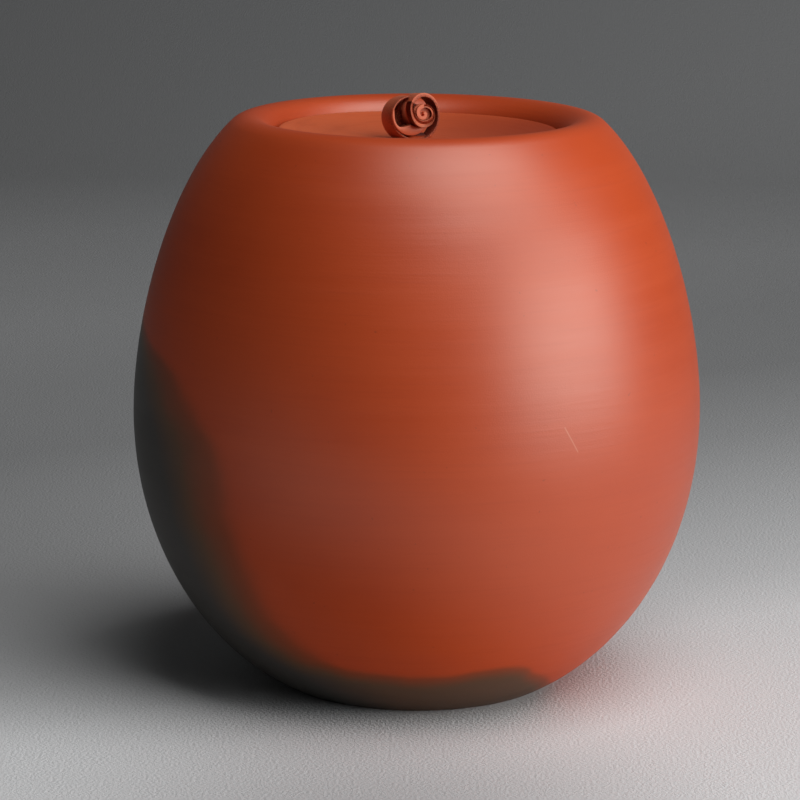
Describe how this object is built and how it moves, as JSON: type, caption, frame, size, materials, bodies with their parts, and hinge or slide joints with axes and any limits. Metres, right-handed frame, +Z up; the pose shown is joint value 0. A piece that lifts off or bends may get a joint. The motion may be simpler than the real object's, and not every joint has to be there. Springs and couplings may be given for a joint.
{
  "type": "lidded water jar",
  "caption": "Egg-shaped unglazed red-clay water jar with a rolled-in rim and a recessed drop-in lid that lifts off by a curled ribbon knob.",
  "frame": {"origin": "on the jar's axis, at the level of the table it stands on", "axes": "+Z up along the jar's axis; the curled knob opens towards -Y, turned a little to +X"},
  "size_m": [0.186, 0.186, 0.1949],
  "materials": {
    "jar_clay": "satin",
    "lid_clay": "satin",
    "knob_clay": "satin"
  },
  "bodies": {
    "jar": {"jar_body": "jar_clay"},
    "lid": {"lid_plate": "lid_clay", "curled_knob": "knob_clay"}
  },
  "joints": [
    {"name": "lid_lift", "type": "slide", "parent": "jar", "child": "lid", "axis": [0, 0, 1], "range_m": [0, 0.1]}
  ]
}
